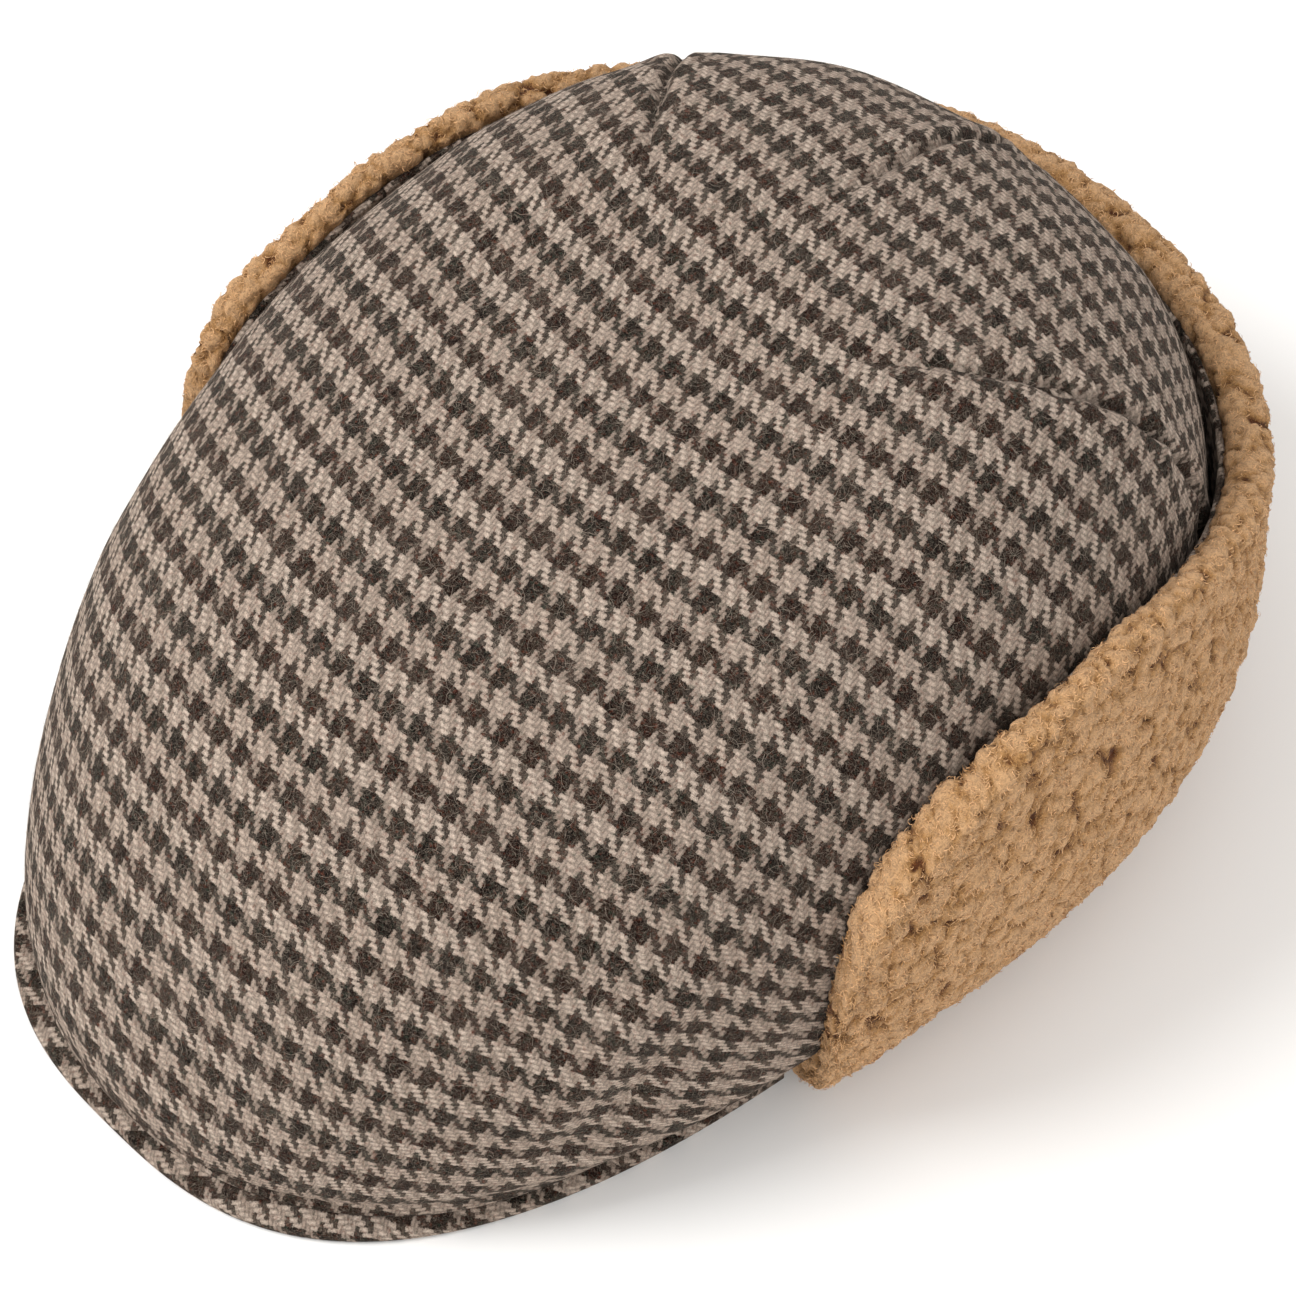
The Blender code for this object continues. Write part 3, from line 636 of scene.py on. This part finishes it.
def flapAngles(fine, coarse, f=flap):
    # Directions of the flap's columns in radians: close together at its two steep front ends.
    first, second, third = f["columnsFrom"]
    even = np.linspace(third, 90.0, round((90.0 - third) / coarse) + 1)
    half = np.concatenate([np.arange(first, second, fine / 4), np.arange(second, third, fine), even])
    return np.radians(np.concatenate([half, 180 - half[-2::-1]]))


def pathNormals(radii, heights):
    out, up = np.gradient(radii, axis=1), np.gradient(heights, axis=1)
    size = np.maximum(np.hypot(out, up), 1e-9)
    return up / size, -out / size


def makeFlapCloth(f):
    angle = flapAngles(1.0, 1.0)
    angle = angle[foldedDegrees(angle) > f["clothStart"]]
    radii, heights, length = flapPath(angle, np.linspace(0, 1 - f["clothShort"], f["clothRows"]))
    out, up = pathNormals(radii, heights)
    innerR, innerZ = radii - out * f["cloth"], heights - up * f["cloth"]
    # a rounded folded edge between the two faces
    turn = np.linspace(0, np.pi, 7)[1:-1]
    topR, topZ = (radii[:, -1:] + innerR[:, -1:]) / 2, (heights[:, -1:] + innerZ[:, -1:]) / 2
    edgeR = topR + (innerR[:, -1:] - topR) * np.cos(turn)
    edgeZ = topZ + f["cloth"] * 0.5 * np.sin(turn)
    loopR = np.concatenate([innerR, edgeR, radii[:, ::-1]], axis=1)
    loopZ = np.concatenate([innerZ, edgeZ, heights[:, ::-1]], axis=1)
    overEdge = length[:, -1:] + f["edgeStep"] * np.arange(1, 6)
    along = np.concatenate([length, overEdge, length[:, ::-1] + f["edgeStep"] * 6], axis=1)
    uv = np.stack([along, angle[:, None] * f["grainRadius"] + 0 * along], axis=-1)
    loops = place(angle[:, None], loopR, loopZ)
    material = tweedMaterial("flap_wool_tweed", tweed)
    return closedLoops("flap_tweed", loops[::-1], material, {"shade": np.ones(loopR.shape)}, uv[::-1])


# Curly sherpa pile: matt wool locks in soft lumps, tan at the tips, and orange brown in the gaps as painted
# shade.
pile = {
    "fine": 0.22, "coarse": 0.46, "nearRows": 12, "rollRows": 12, "outRows": 116,
    # lumps (size, height), how far their places are warped, fine grain, and the near rows where lumps set in
    "lumps": ((0.0045, 0.0018), (0.0024, 0.0009)), "warp": (0.004, 0.0016), "grain": (0.0013, 0.0003),
    "lumpRows": (5, 11), "lumpBase": 0.6, "domeShare": 0.6, "domeReach": 0.8, "crevice": 0.35,
    "floorFade": (0.0005, 0.006),
    # the shallow valley below the free edge's roll, and how its distance from the edge swings
    "valley": 0.0014, "valleyWidth": 0.0035, "valleyFrom": (0.02, 0.04),
    "edgeBand": 0.0135, "edgeSwing": (0.25, 0.31),
    "underTrim": 0.8, "underAngles": (-15.0, 55.0), "underHeights": (0.010, 0.050),
    "farDepth": 0.75, "farDrop": 0.0015, "farAngles": (-18.0, 6.0),
    "backGain": 0.12, "backAngles": (30.0, 60.0),
    "nose": {"length": 2.4, "row": 6, "out": 0.0015, "up": 0.006, "least": 0.0025}, "fillFade": 0.003,
    # from the gaps to the tips: the dark orange brown at the gaps is painted shade
    "colours": ((0.0, "#5c3215"), (0.42, "#b08351"), (0.85, "#cba074")), "toneRange": (0.74, 1.32, 0.0, 1.0),
    "curlSize": 0.0007, "curlTone": 0.55, "patchSize": 0.016, "patchTone": 0.30,
    "strand": 0.0010, "strandWidth": 0.09, "strandTone": (0.0, 1.0, 0.78, 1.2),
    "curlHeight": 0.0011, "strandHeight": 0.00012, "bump": 0.7,
    "shader": {"Roughness": 1.0, "Specular IOR Level": 0.1, "Sheen Weight": 0.1, "Sheen Roughness": 0.5},
    "baseLight": 0.98, "fibreLight": 1.32, "fibreTone": 0.12, "fibreRow": 9, "fibreFloor": 0.002,
    # curled fibre ends, drawn coarser than real; lengths in metres, sweep in radians
    "fibre": {"count": 12000, "points": 6, "width": 0.00020, "curl": (0.00035, 0.00075), "sweep": (2.6, 5.2),
              "lean": (0.3, 1.0), "sunk": 0.00020},
}


def pileMaterial(name, p, light):
    material, tree, shader = newMaterial(name, p["shader"])
    at = addNode(tree, "TexCoord").outputs["Object"]
    raised = addNode(tree, "Attribute", attribute_name="raised", attribute_type="GEOMETRY").outputs["Fac"]
    inputs = {"Vector": at, "Scale": 1 / p["curlSize"], "Detail": 3.0, "Roughness": 0.6, "Distortion": 2.6}
    curl = addNode(tree, "TexNoise", inputs)
    # painted shade: the colour follows the lumps' height, darkest in the gaps between them
    tone = addNode(tree, "Math", (curl, p["curlTone"], raised), operation="MULTIPLY_ADD")
    patch = addNode(tree, "TexNoise", {"Vector": at, "Scale": 1 / p["patchSize"]})
    tone = addNode(tree, "Math", (patch, p["patchTone"], tone), operation="MULTIPLY_ADD")
    wool = addNode(tree, "ValToRGB", (addNode(tree, "MapRange", (tone, *p["toneRange"])),))
    setStops(wool.color_ramp, p["colours"], light)
    # crimped fibres: thin lines, with painted light on top and painted shade between
    strand = strandLines(tree, at, p["strand"], p["strandWidth"], 1.0)
    lit = addNode(tree, "MapRange", (strand, *p["strandTone"]))
    wool = addNode(tree, "VectorMath", {0: wool, 3: lit}, operation="SCALE")
    relief = addNode(tree, "Math", (curl, p["curlHeight"]), operation="MULTIPLY")
    relief = addNode(tree, "Math", (strand, p["strandHeight"], relief), operation="MULTIPLY_ADD")
    linkSurface(tree, shader, wool, relief, p["bump"])
    return material


def pileLumps(base, p):
    # Height of the lumps over base, and as a share of the highest: over each cell of two sizes a dome, the
    # square root of 1 - distance^2, cut off from its neighbours by a narrow crevice; and a finer grain.
    size, amount = p["warp"]
    warped = base + amount * np.stack([valueNoise(base, size, 20 + k) for k in range(3)], axis=-1)
    total = sum(height for _, height in p["lumps"])
    field = p["grain"][1] * valueNoise(base, p["grain"][0], 40)
    for k, (size, height) in enumerate(p["lumps"]):
        first, apart = cellNoise(warped, size, 30 + k)
        dome = np.sqrt(np.clip(1 - (first / p["domeReach"]) ** 2, 0, 1))
        crevice = np.clip(apart / p["crevice"], 0, 1) ** 0.5
        field = field + height * (p["domeShare"] * dome + (1 - p["domeShare"]) * crevice)
    return field - p["lumpBase"] * total, np.clip(field / total, 0, 1)


def pileDepth(angle, farR, farZ, length, farSide, f, p, s):
    # Depth of the pile outside the cloth: by the table, thinner on the far side, low under the temples, and
    # with a shallow valley below the roll of the free edge.
    folded = foldedDegrees(angle)[:, None]
    thinner = (1 - p["farDepth"]) * farSide * smoothStep(folded, *p["farAngles"])
    depth = f["depth"] * flapValue(angle, "depth")[:, None] * (1 - thinner)
    depth = depth * (1 + p["backGain"] * smoothStep(folded, *p["backAngles"]))
    wideHeight = edgeHeight(angle, crownRadius(angle))[:, None]
    lifted = smoothStep(farZ, f["foldHeight"] + s["gap"], wideHeight)
    thick = f["foldHeight"] + (depth - f["foldHeight"]) * lifted
    swing = 1 + p["edgeSwing"][0] * np.sin(angle / p["edgeSwing"][1])[:, None]
    fromBand = (length[:, -1:] - length - p["edgeBand"] * swing) / p["valleyWidth"]
    thick = thick - p["valley"] * np.exp(-fromBand ** 2) * smoothStep(farZ, *p["valleyFrom"])
    under = (1 - smoothStep(folded, *p["underAngles"])) * (1 - smoothStep(farZ, *p["underHeights"]))
    return thick * (1 - p["underTrim"] * under)


def makePile(f, p, s):
    angle = flapAngles(p["fine"], p["coarse"])
    folded = foldedDegrees(angle)[:, None]
    farSide = smoothStep(-np.cos(angle), 0.0, 0.5)[:, None]  # the wearer's right, where the pile is thinner
    floor = f["foldHeight"] + s["gap"]
    nearR, nearZ, _ = flapPath(angle, np.linspace(0, 1, p["nearRows"]))
    out, up = pathNormals(nearR, nearZ)
    nearR, nearZ = nearR + out * s["gap"], nearZ + up * s["gap"]
    outSteps = np.concatenate([[0.0, 0.03], np.linspace(0.05, 1, p["outRows"])])
    farR, farZ, length = flapPath(angle, outSteps)
    thick = s["gap"] + pileDepth(angle, farR, farZ, length, farSide, f, p, s)
    out, up = pathNormals(farR, farZ)
    out[:, :1], up[:, :1] = 0, -1
    farR, farZ = farR + out * thick, farZ + up * thick
    # the front end is filled in to the crown, and for a while behind it the roll leans over the cloth's edge
    filled = 1 - smoothStep(folded, *f["fillEnd"])
    toCrown = crownAt(angle[:, None], nearZ) + s["gap"] - nearR
    nearR = nearR + toCrown * filled * smoothStep(nearZ, floor, floor + p["fillFade"])
    room = nearR[:, -1:] - f["cloth"] - crownAt(angle[:, None], nearZ[:, -1:] + f["overEdge"] / 2)
    lean = np.clip(room, 0, f["lip"]) + f["cloth"] * (1 - filled)
    lean = lean * (1 - smoothStep(folded, *f["lipEnd"])) * (1 - farSide)
    phi = np.linspace(0, np.pi, p["rollRows"] + 2)[1:-1]
    middleR, middleZ = (nearR[:, -1:] + farR[:, -1:]) / 2, (nearZ[:, -1:] + farZ[:, -1:]) / 2
    leaning = lean * f["lipShare"] * np.sin(phi) * (1 + np.cos(phi))
    rollR = middleR + (nearR[:, -1:] - middleR) * np.cos(phi) - leaning
    overEdge = f["overEdge"] - p["farDrop"] * farSide
    rollZ = middleZ + (nearZ[:, -1:] - middleZ) * np.cos(phi) + overEdge * np.sin(phi)
    loopR = np.concatenate([nearR, rollR, farR[:, ::-1]], axis=1)
    loopZ = np.concatenate([nearZ, rollZ, farZ[:, ::-1]], axis=1)
    # the front ends close in a rounded nose that lies against the crown
    nose, row = p["nose"], p["nose"]["row"]
    ahead = np.clip((folded[:1] + nose["length"] - folded) / nose["length"], 0, 1)
    shrink = np.sqrt(np.clip(1 - ahead ** 2, nose["least"], 1))
    tipR, tipZ = nearR[:, row:row + 1] + nose["out"], loopZ[:, row:row + 1] + nose["up"]
    loopR, loopZ = tipR + (loopR - tipR) * shrink, tipZ + (loopZ - tipZ) * shrink
    base = place(angle[:, None], loopR, np.maximum(loopZ, 0.0))
    normal = gridNormals(base.transpose(1, 0, 2), closed=False).transpose(1, 0, 2)
    height, raised = pileLumps(base, p)
    shown = smoothStep(np.arange(loopR.shape[1]), *p["lumpRows"])
    keep = np.maximum(shown[None], 0.5 * filled) * smoothStep(base[..., 2], *p["floorFade"])
    loops = base + normal * (height * keep)[..., None]
    loops[..., 2] = np.maximum(loops[..., 2], 0.0)
    material = pileMaterial("sherpa_pile", p, p["baseLight"])
    piece = closedLoops("flap_sherpa_pile", loops[::-1], material, {"raised": raised[::-1]})
    return piece, loops, normal, raised, filled


def makeFibres(name, f, grid, normal, tone, allowed, material, seed):
    # Curled fibre ends on a grid of points: each is a ribbon along an arc, R sin(w) one way and
    # R (1 - cos(w)) across it. lean is how steeply it leaves the surface: 1 upright, 0 lying flat.
    rng = np.random.default_rng(seed)
    corner = grid[:-1, :-1]
    area = np.linalg.norm(np.cross(grid[1:, :-1] - corner, grid[:-1, 1:] - corner), axis=-1)
    cumulative = np.cumsum((area * allowed).ravel())
    count = f["count"]
    i, j = np.unravel_index(np.searchsorted(cumulative, rng.uniform(0, cumulative[-1], count)), area.shape)
    a, b = rng.uniform(0, 1, (2, count, 1))
    left, right = grid[i, j] * (1 - a) + grid[i + 1, j] * a, grid[i, j + 1] * (1 - a) + grid[i + 1, j + 1] * a
    root, up = left * (1 - b) + right * b, normal[i, j]
    side = np.cross(up, rng.normal(size=up.shape))
    side /= np.linalg.norm(side, axis=1, keepdims=True)
    t = np.linspace(0, 1, f["points"])[None, :, None]
    radius, sweep = rng.uniform(*f["curl"], (count, 1, 1)), rng.uniform(*f["sweep"], (count, 1, 1)) * t
    lean = rng.uniform(*f["lean"], (count, 1))
    first = (up * lean + side * np.sqrt(1 - lean ** 2))[:, None]
    arc = first * np.sin(sweep) + np.cross(up, side)[:, None] * (1 - np.cos(sweep))
    way = (root - up * f["sunk"])[:, None] + radius * arc
    flat = np.cross(np.gradient(way, axis=1), up[:, None] + 0.4 * side[:, None])
    flat /= np.maximum(np.linalg.norm(flat, axis=2, keepdims=True), 1e-12)
    half = f["width"] / 2 * (1 - 0.7 * t ** 2)
    points = np.stack([way - flat * half, way + flat * half], axis=2).reshape(-1, 3)
    points[:, 2] = np.maximum(points[:, 2], 0.0002)  # none reaches the floor
    at = (np.arange(count)[:, None] * 2 * f["points"] + np.arange(f["points"] - 1)[None] * 2)[..., None]
    faces = (at + np.array([0, 1, 3, 2])).reshape(-1, 4)
    return makePiece(name, points, faces, material, {"raised": np.repeat(tone[i, j], 2 * f["points"])})


# The peak: tweed drawn tight over a stiff board, on a shallow dome that ends in an even outer edge.
peak = {"endAngle": -26.8, "endWidth": 0.006, "thickness": 0.0030, "bulge": 0.28, "columns": 260, "rows": 26,
        "grain": 38.0, "darken": 0.95}


def makePeak(p, s):
    end = np.radians(p["endAngle"])
    angle = np.linspace(np.pi - end, 2 * np.pi + end, p["columns"])
    outer = peakRadius(angle)
    inner = oval(angle, s["rimHalfWidth"] - s["cloth"], s["rimBack"] - s["cloth"], s["headFront"],
                 s["rimFullness"], s["headFullness"])
    inner = np.minimum(inner, outer - p["endWidth"])[:, None]
    radius = inner + (outer[:, None] - inner) * np.linspace(0, 1, p["rows"])[None]
    height = s["peakEdge"] + s["peakArch"] * np.clip(1 - (radius / outer[:, None]) ** 2, 0, None)
    upper = place(angle[:, None], radius, height)
    lower = upper[:, ::-1] - [0, 0, p["thickness"]]
    turn = np.linspace(0, np.pi, 9)[1:-1]
    nose = place(angle[:, None], outer[:, None] + p["thickness"] * p["bulge"] * np.sin(turn),
                 s["peakEdge"] - p["thickness"] / 2 + p["thickness"] / 2 * np.cos(turn))
    loops = np.concatenate([upper, nose, lower], axis=1)
    length = np.linalg.norm(np.diff(loops, axis=1, prepend=loops[:, :1]), axis=-1).cumsum(axis=1)
    # the cloth is cut on its own grain and wrapped round the edge
    flat = place(angle[:, None], inner + length, 0.0)[..., :2]
    g = np.radians(p["grain"])
    uv = flat @ np.array([[np.cos(g), -np.sin(g)], [np.sin(g), np.cos(g)]])
    # painted shade: the peak's tweed is the crown's tweed drawn a little darker
    material = tweedMaterial("peak_wool_tweed", tweed, darken=p["darken"])
    return closedLoops("peak_tweed", loops[::-1], material, {"shade": np.ones(loops.shape[:2])}, uv[::-1])


# Nap: fine pale hairs of the tweed lying over its face, dry and matt.
nap = {
    "count": 16000, "points": 4, "width": 0.00006, "curl": (0.0010, 0.0035), "sweep": (0.6, 1.7),
    "lean": (0.0, 0.14), "sunk": -0.00004,
    "shader": {"Base Color": hexColour("#8d8073"), "Roughness": 1.0, "Specular IOR Level": 0.1},
}

crownPiece, crownGrid, crownNormal = makeCrown(crown, capShape)
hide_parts("crown")
everywhere = np.ones((crownGrid.shape[0] - 1, crownGrid.shape[1] - 1))
hair = newMaterial("pale_wool_hair", nap["shader"])[0]
evenTone = np.ones(crownGrid.shape[:2])
napPiece = makeFibres("crown_nap", nap, crownGrid, crownNormal, evenTone, everywhere, hair, 77)
print("crown made", len(crownPiece.data.polygons), "faces")
peakPiece = makePeak(peak, capShape)
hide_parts("peak")
print("peak made", len(peakPiece.data.polygons), "faces")
clothPiece = makeFlapCloth(flap)
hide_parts("flap_cloth")
print("flap cloth made", len(clothPiece.data.polygons), "faces")
pilePiece, pileLoops, pileNormal, pileRaised, pileFilled = makePile(flap, pile, capShape)
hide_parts("flap_pile")
print("pile made", len(pilePiece.data.polygons), "faces")
# the fibres stand on the pile's outside and roll, and all round its filled front ends
names = ("left_front", "left_back", "right_back", "right_front")
cuts = np.linspace(0, len(pileLoops), len(names) + 1).astype(int)
station = np.arange(len(pileLoops) - 1)[:, None]
outside = (np.arange(pileLoops.shape[1] - 1)[None] >= pile["fibreRow"]) | (pileFilled[:-1] > 0.5)
outside = outside * (pileLoops[:-1, :-1, 2] > pile["fibreFloor"])
# painted light: the fibres get a lighter copy of the pile's colours and sit higher on its ramp than the pile
# beneath
curlWool = pileMaterial("sherpa_curl", pile, pile["fibreLight"])
fibreTone = pileRaised + pile["fibreTone"]
fibrePieces = []
for k, name in enumerate(names):
    allowed = outside * (station >= cuts[k]) * (station < cuts[k + 1])
    fibrePieces.append(makeFibres("pile_fibres_" + name, pile["fibre"], pileLoops, pileNormal, fibreTone,
                                  allowed, curlWool, 51 + k))
print("fibres made")
for piece in [crownPiece, napPiece, peakPiece, clothPiece, pilePiece] + fibrePieces:
    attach(piece, "root")

# Pale floor of matt paper, soft studio light, and the camera at the photo's angle. aimPixels is how far the
# target stands from the middle of the picture, at a focal length of focalPixels.
studio = {
    "azimuth": 47.747, "elevation": 52.0, "distance": 1.2, "lens": 172.5, "target": (0.0, 0.00666, 0.050),
    "aimPixels": (1.67, -64.99), "focalPixels": 6210.0, "floorHalf": 6.0, "lampAim": (0.0, 0.0, 0.06),
    "paper": {"Base Color": hexColour("#f4f3f1"), "Roughness": 0.9, "Specular IOR Level": 0.1},
    "world": 0.84,
    "lamps": (
        {"name": "key", "at": (-0.8, -1.0, 1.6), "size": 1.1, "power": 28.0},
        {"name": "fill", "at": (1.4, -0.8, 1.2), "size": 1.4, "power": 10.0},
        {"name": "back", "at": (0.2, 1.5, 1.3), "size": 1.2, "power": 1.0},
    ),
}


def addLooking(name, data, position, aim):
    # An object at a position, turned so that it looks at aim with its sides level.
    thing = bpy.data.objects.new(name, data)
    bpy.context.scene.collection.objects.link(thing)
    back = (Vector(position) - Vector(aim)).normalized()
    right = Vector((0, 0, 1)).cross(back).normalized()
    turned = Matrix((right, back.cross(right), back)).transposed().to_4x4()
    thing.matrix_world = Matrix.Translation(position) @ turned
    return thing


def makeStudio(st):
    scene = bpy.context.scene
    az, el = np.radians(st["azimuth"]), np.radians(st["elevation"])
    toCamera = np.array([np.sin(az) * np.cos(el), -np.cos(az) * np.cos(el), np.sin(el)])
    right = np.array([np.cos(az), np.sin(az), 0.0])
    up = np.cross(toCamera, right)
    target = np.array(st["target"])
    # turn the camera a little so that the target stands where it does in the picture
    offset = right * st["aimPixels"][0] - up * st["aimPixels"][1]
    aim = target - st["distance"] * offset / st["focalPixels"]
    data = bpy.data.cameras.new("camera")
    data.lens, data.sensor_width, data.sensor_height, data.sensor_fit = st["lens"], 36.0, 36.0, "HORIZONTAL"
    data.clip_start, data.clip_end = 0.05, 20.0
    scene.camera = addLooking("camera", data, tuple(target + st["distance"] * toCamera), tuple(aim))
    half = st["floorHalf"]
    corners = [(-half, -half, 0), (half, -half, 0), (half, half, 0), (-half, half, 0)]
    floorMesh = bpy.data.meshes.new("floor")
    floorMesh.from_pydata(corners, [], [(0, 1, 2, 3)])
    floorMesh.materials.append(newMaterial("matt_paper", st["paper"])[0])
    floor = bpy.data.objects.new("floor", floorMesh)
    scene.collection.objects.link(floor)
    scene.world = bpy.data.worlds.new("studio")
    scene.world.use_nodes = True
    background = scene.world.node_tree.nodes["Background"]
    background.inputs[0].default_value = (1.0, 1.0, 1.0, 1.0)
    background.inputs[1].default_value = st["world"]
    for lamp in st["lamps"]:
        light = bpy.data.lights.new(lamp["name"], "AREA")
        light.shape, light.size, light.energy = "DISK", lamp["size"], lamp["power"]
        addLooking(lamp["name"], light, lamp["at"], st["lampAim"])
    scene.view_settings.view_transform = "Standard"


makeStudio(studio)
bpy.context.view_layer.update()
print("studio ready")
